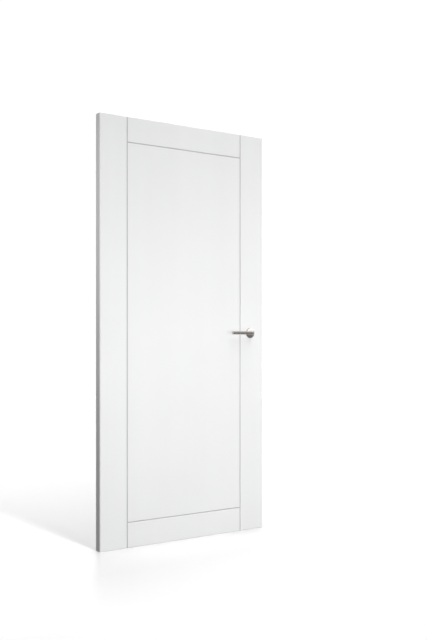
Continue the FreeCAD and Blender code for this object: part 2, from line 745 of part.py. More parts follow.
def check_document():
    """Stops if any object failed to build, or a piece isn't one sound solid."""
    for thing in doc.Objects:
        if "Invalid" in thing.State or "Error" in thing.State:
            raise RuntimeError(f"{thing.Label} failed: {thing.State}")
    for body in pieces:
        shape = body.Shape
        if shape.isNull() or not shape.isValid() or len(shape.Solids) != 1:
            raise RuntimeError(f"{body.Label} isn't one sound solid")


def write_parts():
    os.makedirs("parts", exist_ok=True)
    for body in pieces:
        body.Shape.exportStep(f"parts/{body.Label}.step")


make_leaf()
make_latch()
make_handle()
doc.recompute()
check_document()
write_parts()
print(f"{len(pieces)} pieces, {sum(body.Shape.Volume for body in pieces) / 1e9:.4f} cubic metres of solid")
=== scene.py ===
"""Finishes, handle and studio for a white flush hollow core door leaf.

Written as an add-on and run as a script: main() calls one operator for each group of pieces.
Lengths are in metres, in the same frame as the solids. The front of the leaf looks along -Y.
"""

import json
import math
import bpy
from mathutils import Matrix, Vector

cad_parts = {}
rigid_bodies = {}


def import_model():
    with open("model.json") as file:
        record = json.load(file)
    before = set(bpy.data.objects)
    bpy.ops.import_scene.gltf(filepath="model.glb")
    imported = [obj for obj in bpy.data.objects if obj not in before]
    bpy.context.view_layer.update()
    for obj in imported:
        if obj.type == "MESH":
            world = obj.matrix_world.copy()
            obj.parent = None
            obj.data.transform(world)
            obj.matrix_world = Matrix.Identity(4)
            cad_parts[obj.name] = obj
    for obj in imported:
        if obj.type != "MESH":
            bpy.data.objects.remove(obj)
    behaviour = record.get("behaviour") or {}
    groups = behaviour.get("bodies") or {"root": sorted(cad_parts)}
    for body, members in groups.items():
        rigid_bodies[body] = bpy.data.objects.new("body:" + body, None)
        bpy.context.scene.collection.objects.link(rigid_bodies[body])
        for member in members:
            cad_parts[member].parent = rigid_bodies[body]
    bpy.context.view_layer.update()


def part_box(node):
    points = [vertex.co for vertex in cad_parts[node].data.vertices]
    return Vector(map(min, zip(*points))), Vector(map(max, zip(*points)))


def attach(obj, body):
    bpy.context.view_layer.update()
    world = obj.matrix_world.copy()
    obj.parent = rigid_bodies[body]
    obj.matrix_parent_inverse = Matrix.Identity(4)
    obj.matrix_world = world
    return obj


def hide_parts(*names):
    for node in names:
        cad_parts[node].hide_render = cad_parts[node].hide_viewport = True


bl_info = {
    "name": "Flush hollow core door",
    "version": (1, 0, 0),
    "blender": (4, 5, 0),
    "location": "3D View > Sidebar > Door",
    "description": "Paint, timber and metal finishes, lever handles and a plain studio for a white door leaf",
    "category": "Object",
}

import bmesh
import bpy
from mathutils import Matrix, Vector

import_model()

# the leaf's face, the axis that the handle turns on, and the round bar, as the solids have them
LEAF_LOW, LEAF_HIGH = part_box("front_skin")
BAR_LOW, BAR_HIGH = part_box("front_lever")
ROSE_LOW, ROSE_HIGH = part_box("front_rose")
SPINDLE_LOW, SPINDLE_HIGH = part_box("spindle")
GRUB_LOW, GRUB_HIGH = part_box("front_grub_screw")
FACE = -LEAF_LOW.y
AXIS_X = (ROSE_LOW.x + ROSE_HIGH.x) / 2
AXIS_Z = (ROSE_LOW.z + ROSE_HIGH.z) / 2
BAR_DIAMETER = BAR_HIGH.z - BAR_LOW.z
BAR_REACH = -BAR_LOW.y - BAR_DIAMETER / 2
SIDES = {"front": -1, "back": 1}

# the handle: the play of socket and set screw hole, the neck's gaps to the leaf and in the rose, the metal left
# between the hole and the socket, and the rose's turned edge and softened rims
PLAY = 0.0001
NECK_GAP = 0.0005
NECK_CLEARANCE = 0.00025
SOCKET_WALL = 0.0006
COLLAR_DEPTH = 0.003
ROSE_SOFTENING = 0.0008

# the forend screws: the head's straight rim, the point's length, and how far the point and the cross narrow
HEAD_RIM = 0.0002
SCREW_POINT = 0.0025
POINT_SHRINK = 0.04
CROSS_SHRINK = 0.45

# how finely the new pieces are divided, and what counts as one place and as a sharp edge; the patch round the
# set screw's hole reaches HOLE_SPAN segments of the bar to each side
BAR_SEGMENTS = 48
BEND_STEPS = 16
GRIP_STEPS = 6
TIP_STEPS = 4
HOLE_SPAN = 4
ROSE_SEGMENTS = 96
DOME_STEPS = 12
SCREW_SEGMENTS = 48
SAME_PLACE = 1e-6
SHARP_EDGE = math.radians(35)

# the finishes: how near to the surface still counts as on it, the width of a growth ring, and the distance from the
# spindle at which turned polish lines are as long as straight ones
SURFACE_MARGIN = 0.0001
RING_SPACING = 0.0036
LINE_REACH = 0.01

# the studio: the white behind the floor, how far in front of the door the floor stops mirroring, and where it ends
BACKDROP = 1.05
NEAR_FLOOR_START = 0.35
NEAR_FLOOR_END = 0.85
FLOOR_END = 12.0


# Settings a user would change


class DoorSizes(bpy.types.PropertyGroup):
    bar_diameter: bpy.props.FloatProperty(
        name="Bar diameter", description="Thickness of the round lever bar",
        default=BAR_DIAMETER, unit="LENGTH")
    bar_bend: bpy.props.FloatProperty(
        name="Bend radius", description="Radius of the bar's bend, on its centreline",
        default=0.016, unit="LENGTH")
    bar_tip: bpy.props.FloatProperty(
        name="Tip rounding", description="Radius of the rounded rim at the bar's end",
        default=0.0012, unit="LENGTH")
    socket_side: bpy.props.FloatProperty(
        name="Socket", description="Width of the square socket in the lever, across its flats",
        default=SPINDLE_HIGH.z - SPINDLE_LOW.z + PLAY, unit="LENGTH")
    grub_hole: bpy.props.FloatProperty(
        name="Set screw hole", description="Diameter of the hole under the lever's neck",
        default=GRUB_HIGH.x - GRUB_LOW.x + PLAY, unit="LENGTH")
    rose_rim: bpy.props.FloatProperty(
        name="Rose rim", description="Height of the rose's straight rim",
        default=0.004, unit="LENGTH")
    rose_wall: bpy.props.FloatProperty(
        name="Rose wall", description="Thickness of the rose's pressed metal",
        default=0.0014, unit="LENGTH")
    cross_arm: bpy.props.FloatProperty(
        name="Cross arm", description="Length of one arm of the cross in a screw's head",
        default=0.0019, unit="LENGTH")
    cross_width: bpy.props.FloatProperty(
        name="Cross width", description="Width of the cross's arms",
        default=0.0009, unit="LENGTH")
    cross_depth: bpy.props.FloatProperty(
        name="Cross depth", description="Depth of the cross in the head",
        default=0.0013, unit="LENGTH")
    line_depth: bpy.props.FloatProperty(
        name="Line depth", description="Depth of the routed lines, at whose root the paint is greyest",
        default=0.0024, unit="LENGTH")
    stipple: bpy.props.FloatProperty(
        name="Roller stipple", description="Size of the small bumps that a paint roller leaves",
        default=0.0022, unit="LENGTH")


class DoorColours(bpy.types.PropertyGroup):
    paint: bpy.props.FloatVectorProperty(
        name="Paint", description="White satin paint",
        default=(0.80, 0.803, 0.805), subtype="COLOR", size=3)
    # painted shade: this grey at the root of the routed lines stands for the shade that falls there
    line: bpy.props.FloatVectorProperty(
        name="Paint in the lines", description="Paint at the root of the routed lines, greyed by dust",
        default=(0.40, 0.40, 0.40), subtype="COLOR", size=3)
    board: bpy.props.FloatVectorProperty(
        name="Bare board", description="Cut edge of the skin where no paint reaches",
        default=(0.33, 0.22, 0.13), subtype="COLOR", size=3)
    softwood: bpy.props.FloatVectorProperty(
        name="Softwood", description="Pale early wood of the bare frame",
        default=(0.70, 0.54, 0.36), subtype="COLOR", size=3)
    softwood_line: bpy.props.FloatVectorProperty(
        name="Softwood line", description="Dark late wood between the growth rings",
        default=(0.50, 0.33, 0.18), subtype="COLOR", size=3)
    kraft: bpy.props.FloatVectorProperty(
        name="Kraft paper", description="Brown paper of the cells",
        default=(0.40, 0.27, 0.15), subtype="COLOR", size=3)
    nickel: bpy.props.FloatVectorProperty(
        name="Satin nickel", description="Warm grey metal of levers and roses",
        default=(0.47, 0.44, 0.42), subtype="COLOR", size=3)
    zinc_plate: bpy.props.FloatVectorProperty(
        name="Zinc plate", description="Bright plated steel of screws and latch",
        default=(0.62, 0.63, 0.64), subtype="COLOR", size=3)
    cast_zinc: bpy.props.FloatVectorProperty(
        name="Cast zinc", description="Dull cast metal of the rose bases",
        default=(0.36, 0.37, 0.38), subtype="COLOR", size=3)


class StudioSettings(bpy.types.PropertyGroup):
    overhead: bpy.props.FloatProperty(
        name="Overhead light", description="Even light straight down on the floor", default=0.40)
    strip: bpy.props.FloatProperty(
        name="Strip light", description="Tall narrow light in front, which casts the shadow almost straight back",
        default=0.55)
    face: bpy.props.FloatProperty(
        name="Face light", description="Wide softbox in front that lights the door alone", default=0.965)
    face_side: bpy.props.FloatProperty(
        name="Face light side", description="Angle of the face light to the right of the door's front",
        default=math.radians(8), subtype="ANGLE")
    edge: bpy.props.FloatProperty(
        name="Edge lights", description="Small softboxes beside the door, one for each long edge", default=0.38)
    card: bpy.props.FloatProperty(
        name="Card", description="Wide white card at the front right, which only shows in the roses", default=0.55)
    back: bpy.props.FloatProperty(
        name="Back light", description="Softbox behind the door, which lights the door alone", default=0.95)
    room: bpy.props.FloatProperty(
        name="Room light", description="Even light from all round", default=0.12)
    mirrored_front: bpy.props.FloatProperty(
        name="Mirrored front", description="Brightness that metal mirrors from the side of the camera", default=0.58)
    mirrored_back: bpy.props.FloatProperty(
        name="Mirrored back", description="Brightness that the floor mirrors from behind the door", default=1.9)
    mirrored_low: bpy.props.FloatProperty(
        name="Mirrored below", description="Share of that brightness that comes from straight below", default=0.4)
    floor: bpy.props.FloatVectorProperty(
        name="Floor", description="Colour of the plain floor",
        default=(0.86, 0.86, 0.86), subtype="COLOR", size=3)
    floor_near: bpy.props.FloatVectorProperty(
        name="Near floor", description="Colour of the floor well in front of the door, where it mirrors nothing",
        default=(0.99, 0.99, 0.99), subtype="COLOR", size=3)
    bounce: bpy.props.FloatProperty(
        name="Floor bounce", description="Share of its light that the floor throws back on the door", default=0.06)


# Shader nodes


def put(tree, kind, **settings):
    """A new node with these settings."""
    node = tree.nodes.new(kind)
    for name, value in settings.items():
        setattr(node, name, value)
    return node


def feed(tree, socket, value):
    """Links a socket to this output, or sets it to this value."""
    if isinstance(value, bpy.types.NodeSocket):
        tree.links.new(value, socket)
    else:
        socket.default_value = value


def calculate(tree, operation, *values, clamp=False):
    node = put(tree, "ShaderNodeMath", operation=operation, use_clamp=clamp)
    for socket, value in zip(node.inputs, values):
        feed(tree, socket, value)
    return node.outputs[0]


def how_far(tree, first, second):
    """How far from the middle a point is whose two coordinates are these."""
    return calculate(tree, "SQRT", calculate(tree, "ADD", calculate(tree, "MULTIPLY", first, first),
                                             calculate(tree, "MULTIPLY", second, second)))


def cloud(tree, vector, scale, detail=2.0, roughness=0.5):
    """Smooth noise with this many spots to a metre."""
    node = put(tree, "ShaderNodeTexNoise")
    feed(tree, node.inputs["Vector"], vector)
    feed(tree, node.inputs["Scale"], scale)
    node.inputs["Detail"].default_value = detail
    node.inputs["Roughness"].default_value = roughness
    return node.outputs["Fac"]


def stretched(tree, vector, scale, location=(0, 0, 0)):
    node = put(tree, "ShaderNodeMapping")
    feed(tree, node.inputs["Vector"], vector)
    node.inputs["Scale"].default_value = scale
    node.inputs["Location"].default_value = location
    return node.outputs["Vector"]


def ramped(tree, value, low, high, to_low=0.0, to_high=1.0):
    """Runs from to_low to to_high while the value runs from low to high."""
    node = put(tree, "ShaderNodeMapRange")
    for socket, number in zip(node.inputs, (value, low, high, to_low, to_high)):
        feed(tree, socket, number)
    return node.outputs["Result"]


def varied(tree, noise, least=0.0, most=1.0):
    """Spreads noise, which stays near its middle, between these two values."""
    return ramped(tree, noise, 0.3, 0.7, least, most)


def blended(tree, factor, first, second, way="MIX"):
    node = put(tree, "ShaderNodeMix", data_type="RGBA", blend_type=way)
    feed(tree, node.inputs[0], factor)
    feed(tree, node.inputs[6], first)
    feed(tree, node.inputs[7], second)
    return node.outputs[2]


def shaded(tree, colour, tone):
    """The colour made paler or darker by this factor."""
    grey = put(tree, "ShaderNodeCombineColor")
    for socket in grey.inputs[:3]:
        feed(tree, socket, tone)
    return blended(tree, 1.0, colour, grey.outputs[0], "MULTIPLY")


def mixed(tree, factor, first, second):
    """A mix of two shaders."""
    node = put(tree, "ShaderNodeMixShader")
    for socket, value in zip(node.inputs, (factor, first, second)):
        feed(tree, socket, value)
    return node.outputs[0]


def split(tree, vector):
    node = put(tree, "ShaderNodeSeparateXYZ")
    feed(tree, node.inputs[0], vector)
    return node.outputs[:]


def joined(tree, *values):
    node = put(tree, "ShaderNodeCombineXYZ")
    for socket, value in zip(node.inputs, values):
        feed(tree, socket, value)
    return node.outputs[0]


def opaque(colour):
    return (*colour, 1.0)


def darker(colour, share):
    return opaque([share * channel for channel in colour])


def new_effect(name, inputs, outputs):
    """A shader node group with named sockets, and its two ends."""
    tree = bpy.data.node_groups.new(name, "ShaderNodeTree")
    for label, kind, start in inputs:
        socket = tree.interface.new_socket(name=label, in_out="INPUT", socket_type=kind)
        if start is not None:
            socket.default_value = start
    for label, kind in outputs:
        tree.interface.new_socket(name=label, in_out="OUTPUT", socket_type=kind)
    return tree, put(tree, "NodeGroupInput").outputs, put(tree, "NodeGroupOutput").inputs


def use_effect(tree, effect, **values):
    node = put(tree, "ShaderNodeGroup", node_tree=bpy.data.node_groups[effect])
    for label, value in values.items():
        feed(tree, node.inputs[label.replace("_", " ")], value)
    return node.outputs


FINISH_OUTPUTS = [("Colour", "NodeSocketColor"), ("Roughness", "NodeSocketFloat"), ("Height", "NodeSocketFloat")]


def make_paint_film():
    """Roller stipple, faint roller tracks and uneven whiteness of a painted face."""
    tree, given, made = new_effect(
        "paint film",
        [("Vector", "NodeSocketVector", None), ("Colour", "NodeSocketColor", (0.8, 0.8, 0.8, 1)),
         ("Stipple", "NodeSocketFloat", 0.0022)],
        FINISH_OUTPUTS)
    place = given["Vector"]
    patches = cloud(tree, place, scale=2.6, detail=3.0)
    tracks = cloud(tree, stretched(tree, place, (14, 14, 0.5)), scale=1.0)
    tone = calculate(tree, "ADD", varied(tree, patches, -0.010, 0.010), varied(tree, tracks, -0.005, 0.005))
    feed(tree, made["Colour"], shaded(tree, given["Colour"], calculate(tree, "ADD", tone, 1.0)))
    rub = cloud(tree, place, scale=9.0, detail=4.0, roughness=0.6)
    feed(tree, made["Roughness"], calculate(tree, "ADD", varied(tree, rub, 0.34, 0.44),
                                            varied(tree, tracks, -0.02, 0.02)))
    bumps = cloud(tree, place, scale=calculate(tree, "DIVIDE", 1.0, given["Stipple"]), roughness=0.55)
    sag = cloud(tree, place, scale=60.0, detail=1.0)
    feed(tree, made["Height"], calculate(tree, "ADD", bumps, calculate(tree, "MULTIPLY", sag, 0.8)))


def make_timber_grain():
    """Growth rings and fibres of softwood. The grain runs along the vector's Z."""
    tree, given, made = new_effect(
        "timber grain",
        [("Vector", "NodeSocketVector", None), ("Pale", "NodeSocketColor", (0.7, 0.5, 0.3, 1)),
         ("Dark", "NodeSocketColor", (0.4, 0.25, 0.12, 1))],
        FINISH_OUTPUTS)
    place = given["Vector"]
    drift = cloud(tree, stretched(tree, place, (5, 5, 0.5)), scale=1.0)
    from_heart = split(tree, stretched(tree, place, (1, 1, 1), location=(0.03, 0.06, 0)))[:2]
    bent = calculate(tree, "ADD", how_far(tree, *from_heart), calculate(tree, "MULTIPLY", drift, 0.03))
    wave = calculate(tree, "FRACT", calculate(tree, "DIVIDE", bent, RING_SPACING))
    late = calculate(tree, "POWER", wave, 3.0)
    fibres = cloud(tree, stretched(tree, place, (1, 1, 0.03)), scale=900.0, detail=3.0, roughness=0.6)
    mix = calculate(tree, "ADD", calculate(tree, "MULTIPLY", late, 0.75), varied(tree, fibres, -0.05, 0.25),
                    clamp=True)
    feed(tree, made["Colour"], blended(tree, mix, given["Pale"], given["Dark"]))
    feed(tree, made["Roughness"], varied(tree, fibres, 0.62, 0.78))
    feed(tree, made["Height"], calculate(tree, "ADD", calculate(tree, "MULTIPLY", late, 0.5), fibres))


def make_metal_grain():
    """Fine lines of polishing along the vector's X, with soft handling marks."""
    tree, given, made = new_effect(
        "metal grain",
        [("Vector", "NodeSocketVector", None), ("Colour", "NodeSocketColor", (0.5, 0.5, 0.5, 1)),
         ("Roughness", "NodeSocketFloat", 0.3), ("Line", "NodeSocketFloat", 0.0002)],
        FINISH_OUTPUTS)
    place = given["Vector"]
    lines = cloud(tree, stretched(tree, place, (0.02, 1, 1)),
                  scale=calculate(tree, "DIVIDE", 1.0, given["Line"]), roughness=0.6)
    marks = cloud(tree, place, scale=70.0, detail=4.0, roughness=0.6)
    tone = calculate(tree, "ADD", varied(tree, marks, 0.96, 1.03), varied(tree, lines, -0.03, 0.03))
    feed(tree, made["Colour"], shaded(tree, given["Colour"], tone))
    uneven = calculate(tree, "ADD", varied(tree, marks, -0.02, 0.03), varied(tree, lines, -0.02, 0.02))
    feed(tree, made["Roughness"], calculate(tree, "ADD", given["Roughness"], uneven))
    feed(tree, made["Height"], lines)


# Finishes


def new_finish(name):
    """A material with its shader, the object's own coordinates, and nothing else yet."""
    material = bpy.data.materials.new(name)
    material.use_nodes = True
    tree = material.node_tree
    tree.nodes.clear()
    shader = put(tree, "ShaderNodeBsdfPrincipled")
    tree.links.new(shader.outputs["BSDF"], put(tree, "ShaderNodeOutputMaterial").inputs["Surface"])
    place = put(tree, "ShaderNodeTexCoord").outputs["Object"]
    return material, tree, shader.inputs, place


def cover(tree, shader, colour, roughness, height, depth):
    """Gives a shader its colour, its roughness and bumps of this depth."""
    feed(tree, shader["Base Color"], colour)
    feed(tree, shader["Roughness"], roughness)
    bump = put(tree, "ShaderNodeBump")
    bump.inputs["Strength"].default_value = 1.0
    bump.inputs["Distance"].default_value = depth
    feed(tree, bump.inputs["Height"], height)
    feed(tree, shader["Normal"], bump.outputs["Normal"])


def sawn_ends(tree, height):
    """1 on the bare top and bottom of the leaf, and 0 elsewhere."""
    return calculate(tree, "ADD", calculate(tree, "GREATER_THAN", height, LEAF_HIGH.z - SURFACE_MARGIN),
                     calculate(tree, "LESS_THAN", height, SURFACE_MARGIN))


def softwood(tree, place):
    colours = bpy.context.scene.door_colours
    return use_effect(tree, "timber grain", Vector=place, Pale=opaque(colours.softwood),
                      Dark=opaque(colours.softwood_line))


def paint_film(tree, place):
    sizes, colours = bpy.context.scene.door_sizes, bpy.context.scene.door_colours
    return use_effect(tree, "paint film", Vector=place, Colour=opaque(colours.paint), Stipple=sizes.stipple)


def painted_board():
    """Satin white on the skins, with painted shade deep in the routed lines, and bare board where they were sawn."""
    sizes, colours = bpy.context.scene.door_sizes, bpy.context.scene.door_colours
    material, tree, shader, place = new_finish("painted board")
    film = paint_film(tree, place)
    y, z = split(tree, place)[1:]
    # painted shade: the paint darkens towards the root of each routed line, where the groove lies in shade
    painted_line_shade = ramped(tree, calculate(tree, "ABSOLUTE", y), FACE - SURFACE_MARGIN, FACE - sizes.line_depth)
    paint = blended(tree, painted_line_shade, film["Colour"], opaque(colours.line))
    chips = cloud(tree, place, scale=1400.0, detail=3.0, roughness=0.7)
    raw = blended(tree, ramped(tree, chips, 0.35, 0.65), opaque(colours.board), darker(colours.board, 0.62))
    ends = sawn_ends(tree, z)
    roughness = calculate(tree, "ADD", film["Roughness"], calculate(tree, "MULTIPLY", ends, 0.4))
    cover(tree, shader, blended(tree, ends, paint, raw), roughness, film["Height"], depth=0.00008)
    return material


def painted_timber():
    """The same paint over solid timber, whose grain still shows as a faint ripple."""
    material, tree, shader, place = new_finish("painted timber")
    film = paint_film(tree, place)
    ripple = cloud(tree, stretched(tree, place, (1, 1, 0.04)), scale=700.0, detail=3.0, roughness=0.6)
    ends = sawn_ends(tree, split(tree, place)[2])
    colour = blended(tree, ends, film["Colour"], softwood(tree, place)["Colour"])
    height = calculate(tree, "ADD", film["Height"], calculate(tree, "MULTIPLY", ripple, 1.4))
    cover(tree, shader, colour, film["Roughness"], height, depth=0.00005)
    shader["Specular IOR Level"].default_value = 0.12
    return material


def bare_timber(name, across=False):
    """Planed softwood; the grain runs up the door, or across it in the rails."""
    material, tree, shader, place = new_finish(name)
    if across:
        x, y, z = split(tree, place)
        slanted = calculate(tree, "ADD", calculate(tree, "MULTIPLY", z, 0.5), calculate(tree, "MULTIPLY", y, 0.87))
        place = joined(tree, slanted, y, x)
    grain = softwood(tree, place)
    cover(tree, shader, grain["Colour"], grain["Roughness"], grain["Height"], depth=0.0001)
    return material


def kraft_paper():
    """Brown paper with its fibres and darker flecks."""
    colours = bpy.context.scene.door_colours
    material, tree, shader, place = new_finish("kraft paper")
    fibres = cloud(tree, stretched(tree, place, (1, 1, 3)), scale=500.0, detail=4.0, roughness=0.7)
    flecks = cloud(tree, place, scale=90.0)
    colour = blended(tree, calculate(tree, "MULTIPLY", fibres, flecks), opaque(colours.kraft),
                     darker(colours.kraft, 0.55))
    cover(tree, shader, colour, varied(tree, fibres, 0.80, 0.95), fibres, depth=0.00008)
    return material


def metal(name, colour, roughness, line, depth, turned=False):
    """Plated metal with its lines of polishing, straight along X or turned about the spindle."""
    material, tree, shader, place = new_finish(name)
    if turned:
        x, y, z = split(tree, stretched(tree, place, (1, 1, 1), location=(-AXIS_X, 0, -AXIS_Z)))
        around = calculate(tree, "MULTIPLY", calculate(tree, "ARCTAN2", z, x), LINE_REACH)
        place = joined(tree, around, how_far(tree, x, z), y)
    grain = use_effect(tree, "metal grain", Vector=place, Colour=opaque(colour), Roughness=roughness, Line=line)
    cover(tree, shader, grain["Colour"], grain["Roughness"], grain["Height"], depth)
    shader["Metallic"].default_value = 1.0
    return material


def cast_metal(name, colour):
    """Sand-grey casting with a grainy, dull skin."""
    material, tree, shader, place = new_finish(name)
    grit = cloud(tree, place, scale=1800.0, detail=4.0, roughness=0.7)
    stains = cloud(tree, place, scale=60.0, detail=3.0)
    stained = blended(tree, varied(tree, stains), opaque(colour), darker(colour, 0.75))
    cover(tree, shader, stained, varied(tree, grit, 0.48, 0.66), grit, depth=0.00006)
    shader["Metallic"].default_value = 1.0
    return material


def dress(finish, *nodes):
    """Gives CAD nodes this finish."""
    for name in nodes:
        materials = bpy.data.objects[name].data.materials
        materials.clear()
        materials.append(finish)


# Pieces in mesh code


def add_to_scene(thing):
    bpy.context.scene.collection.objects.link(thing)
    return thing


def tidy_mesh(bm):
    """Merges what lies in one place and turns every face outwards."""
    bmesh.ops.remove_doubles(bm, verts=bm.verts, dist=SAME_PLACE)
    bmesh.ops.recalc_face_normals(bm, faces=bm.faces)


def finish_piece(bm, name, finish, body, slot, *nodes):
    """Turns a bmesh into a named piece that stands for these nodes and rides on its body."""
    tidy_mesh(bm)
    mesh = bpy.data.meshes.new(name)
    bm.to_mesh(mesh)
    bm.free()
    for polygon in mesh.polygons:
        polygon.use_smooth = True
    mesh.set_sharp_from_angle(angle=SHARP_EDGE)
    mesh.materials.append(finish)
    piece = add_to_scene(bpy.data.objects.new(name, mesh))
    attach(piece, body)
    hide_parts(*nodes)


def loop_between(verts):
    """The edges that join verts of this set to each other."""
    chosen = set(verts)
    return list({e for v in chosen for e in v.link_edges if e.other_vert(v) in chosen})


def verts_of(made):
    return [item for item in made if isinstance(item, bmesh.types.BMVert)]


def grow(bm, ring, vector, shrink=1.0):
    """Extrudes a ring of verts by this vector, narrows it about its middle and returns the new ring."""
    ring = verts_of(bmesh.ops.extrude_edge_only(bm, edges=loop_between(ring))["geom"])
    bmesh.ops.translate(bm, verts=ring, vec=vector)
    if shrink != 1.0:
        middle = sum((v.co for v in ring), Vector()) / len(ring)
        bmesh.ops.scale(bm, vec=(shrink, shrink, shrink), space=Matrix.Translation(-middle), verts=ring)
    return ring


def close(bm, ring):
    """Fills the ring with one face."""
    bmesh.ops.contextual_create(bm, geom=loop_between(ring))


def ring_at(bm, height, reach=1.0):
    """The verts at this height along Z and within this reach of the Z axis."""
    return [v for v in bm.verts if abs(v.co.z - height) < SAME_PLACE and v.co.xy.length < reach + SAME_PLACE]


def seat(bm, depth, side):
    """Turns a piece of the handle that was made along Z to the door's front, or mirrors it to the back."""
    bmesh.ops.transform(bm, matrix=Matrix.Translation((AXIS_X, depth, AXIS_Z)) @ Matrix.Rotation(math.pi / 2, 4, "X"),
                        verts=bm.verts)
    if side > 0:
        bmesh.ops.scale(bm, vec=(1, -1, 1), verts=bm.verts)


def bend_lever(side):
    """One round bar: a neck straight out from the door, one bend, and the grip.

    The neck is made along Z with its underside at -Y, and turned to the door at the end.
    """
    sizes = bpy.context.scene.door_sizes
    radius = sizes.bar_diameter / 2
    start = FACE + NECK_GAP
    neck_end = BAR_REACH - sizes.bar_bend
    hole_at = -(GRUB_LOW.y + GRUB_HIGH.y) / 2
    step = math.tau * radius / BAR_SEGMENTS
    bm = bmesh.new()
    ring = bmesh.ops.create_circle(bm, segments=BAR_SEGMENTS, radius=radius,
                                   matrix=Matrix.Translation((0, 0, start)))["verts"]
    rows = [hole_at + step * count for count in range(-HOLE_SPAN, HOLE_SPAN + 1)]
    for low, high in zip([start] + rows, rows + [neck_end]):
        ring = grow(bm, ring, (0, 0, high - low))
    bend = bmesh.ops.spin(bm, geom=ring + loop_between(ring), cent=(-sizes.bar_bend, 0, neck_end), axis=(0, -1, 0),
                          angle=math.pi / 2, steps=BEND_STEPS, use_duplicate=False)
    ring = verts_of(bend["geom_last"])
    grip = (AXIS_X - sizes.bar_bend) - BAR_LOW.x - sizes.bar_tip
    for length in [grip / GRIP_STEPS] * GRIP_STEPS + [sizes.bar_tip]:
        ring = grow(bm, ring, (-length, 0, 0))
    rim = loop_between(ring)
    close(bm, ring)
    bmesh.ops.bevel(bm, geom=rim + ring, offset=sizes.bar_tip, segments=TIP_STEPS, profile=0.5, affect="EDGES",
                    material=-1)
    bore_grub_hole(bm, radius, hole_at, rows[0], rows[-1])
    cut_socket(bm, start)
    seat(bm, 0, side)
    return bm


def bore_grub_hole(bm, radius, hole_at, low, high):
    """Takes a patch out of the neck's underside and closes it round the set screw's hole."""
    sizes = bpy.context.scene.door_sizes
    margin = 10 * SAME_PLACE
    reach = radius * math.sin(math.tau * HOLE_SPAN / BAR_SEGMENTS) + margin
    patch = [f for f in bm.faces if all(
        low - margin < v.co.z < high + margin and abs(v.co.x) < reach and v.co.y < -radius / 2 for v in f.verts)]
    border = [e for e in {e for f in patch for e in f.edges} if sum(f in patch for f in e.link_faces) == 1]
    bmesh.ops.delete(bm, geom=patch, context="FACES")
    mouth = bmesh.ops.create_circle(bm, segments=8 * HOLE_SPAN, radius=sizes.grub_hole / 2)["verts"]
    for vert in mouth:
        x, along = vert.co.x, vert.co.y
        vert.co = (x, -math.sqrt(radius ** 2 - x ** 2), hole_at + along)
    bmesh.ops.bridge_loops(bm, edges=[e for e in border if e.is_valid] + loop_between(mouth))
    close(bm, grow(bm, mouth, (0, radius - sizes.socket_side / 2 - SOCKET_WALL, 0)))


def cut_socket(bm, start):
    """Closes the neck's foot round the square socket for the spindle."""
    sizes = bpy.context.scene.door_sizes
    corner = sizes.socket_side / math.sqrt(2)
    turned = Matrix.Translation((0, 0, start)) @ Matrix.Rotation(math.pi / 4, 4, "Z")
    square = bmesh.ops.create_circle(bm, segments=4, radius=corner, matrix=turned)["verts"]
    bmesh.ops.subdivide_edges(bm, edges=loop_between(square), cuts=BAR_SEGMENTS // 4 - 1)
    bmesh.ops.bridge_loops(bm, edges=loop_between(ring_at(bm, start)))
    close(bm, grow(bm, ring_at(bm, start, corner), (0, 0, -SPINDLE_LOW.y - start)))


def turn_screw(low, high):
    """A countersunk screw along X with a cross in its head, which lies flush at the box's high end."""
    sizes = bpy.context.scene.door_sizes
    head, length = (high.z - low.z) / 2, high.x - low.x
    shank = head / 2
    arm, half = sizes.cross_arm, sizes.cross_width / 2
    bm = bmesh.new()
    ring = bmesh.ops.create_circle(bm, segments=SCREW_SEGMENTS, radius=head)["verts"]
    ring = grow(bm, ring, (0, 0, -HEAD_RIM))
    ring = grow(bm, ring, (0, 0, shank - head + HEAD_RIM), shrink=shank / head)
    ring = grow(bm, ring, (0, 0, head - shank + SCREW_POINT - length))
    ring = grow(bm, ring, (0, 0, -SCREW_POINT), shrink=POINT_SHRINK)
    close(bm, ring)
    cross = []
    for turn in range(4):
        quarter = Matrix.Rotation(math.pi / 2 * turn, 4, "Z")
        cross += [bm.verts.new(quarter @ Vector(place)) for place in ((arm, half, 0), (half, half, 0), (half, arm, 0))]
    edges = [bm.edges.new((a, b)) for a, b in zip(cross, cross[1:] + cross[:1])]
    bmesh.ops.subdivide_edges(bm, edges=edges, cuts=SCREW_SEGMENTS // len(cross) - 1)
    bmesh.ops.bridge_loops(bm, edges=loop_between(ring_at(bm, 0)))
    close(bm, grow(bm, ring_at(bm, 0, math.hypot(arm, half)), (0, 0, -sizes.cross_depth), shrink=CROSS_SHRINK))
    place = Matrix.Translation((high.x, (low.y + high.y) / 2, (low.z + high.z) / 2))
    bmesh.ops.transform(bm, matrix=place @ Matrix.Rotation(math.pi / 2, 4, "Y"), verts=bm.verts)
    return bm


